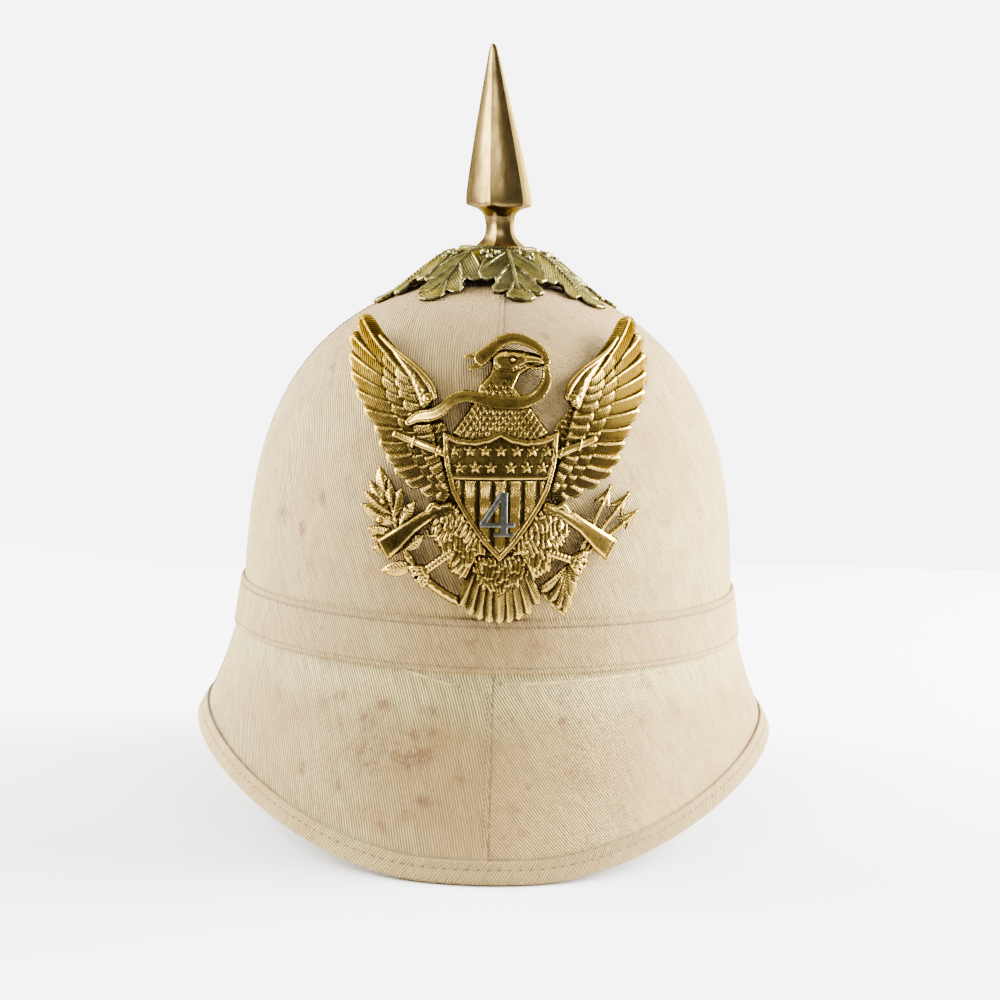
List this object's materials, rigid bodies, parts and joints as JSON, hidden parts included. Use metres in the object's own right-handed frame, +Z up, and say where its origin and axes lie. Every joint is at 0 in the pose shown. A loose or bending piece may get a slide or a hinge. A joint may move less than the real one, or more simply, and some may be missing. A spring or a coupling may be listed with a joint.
{
  "type": "pith helmet",
  "caption": "Cork pith helmet in cream twill with a sloping brim, cloth band, brass spike on an oak leaf base and a brass eagle plate with a numeral.",
  "frame": {"origin": "middle of the bounding box's floor plan, on the surface that the brim rests on", "axes": "+Z up through the spike, the front of the brim and the eagle plate towards -Y, +X to the right in the front view"},
  "size_m": [0.251, 0.3626, 0.3211],
  "materials": {
    "cream_twill": "cotton twill over cork, stained",
    "band_twill": "stitched cotton twill band",
    "binding_twill": "stitched cotton twill edge",
    "dull_brass": "stamped, dull with bright edges",
    "gilt_brass": "stamped, gilt with dark hollows",
    "rosy_brass": "cast and polished",
    "grey_silver": "tarnished nickel silver"
  },
  "bodies": {
    "root": {"helmet_body": "cream_twill", "hat_band": "band_twill", "edge_binding": "binding_twill", "leaf_base": "dull_brass", "spike": "rosy_brass", "eagle_plate": "gilt_brass", "numeral": "grey_silver"}
  },
  "joints": []
}
